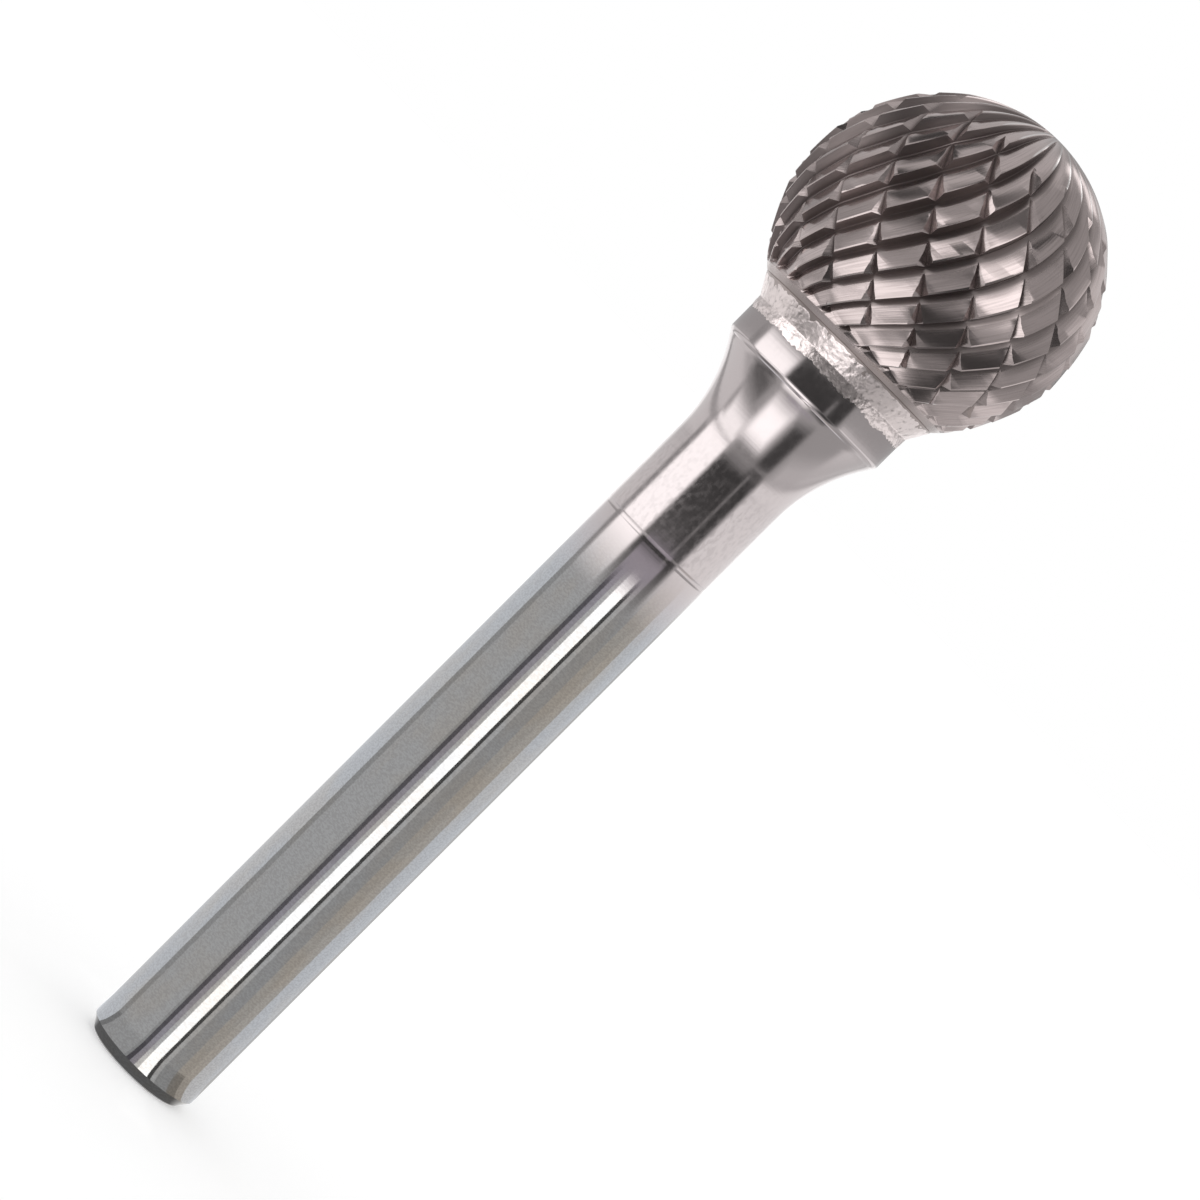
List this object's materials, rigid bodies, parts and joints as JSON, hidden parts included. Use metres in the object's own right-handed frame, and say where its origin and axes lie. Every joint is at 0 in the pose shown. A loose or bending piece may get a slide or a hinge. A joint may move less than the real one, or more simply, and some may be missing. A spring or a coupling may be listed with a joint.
{
  "type": "carbide burr",
  "caption": "Rotary burr with a fluted ball head of cemented carbide, brazed to a straight round steel shank for a collet.",
  "frame": {"origin": "centre of the shank's flat end face, on the burr's axis", "axes": "+Z along the axis from the shank's end to the tip of the ball, with the burr standing on its shank; +X and +Y lie across the axis"},
  "size_m": [0.016, 0.016, 0.0619],
  "materials": {
    "ground_steel": "ground and polished",
    "silver_solder": "dull, grainy",
    "cemented_carbide": "ground, dark grey"
  },
  "bodies": {
    "root": {"steel_shank": "ground_steel", "braze_joint": "silver_solder", "carbide_head": "cemented_carbide"}
  },
  "joints": []
}
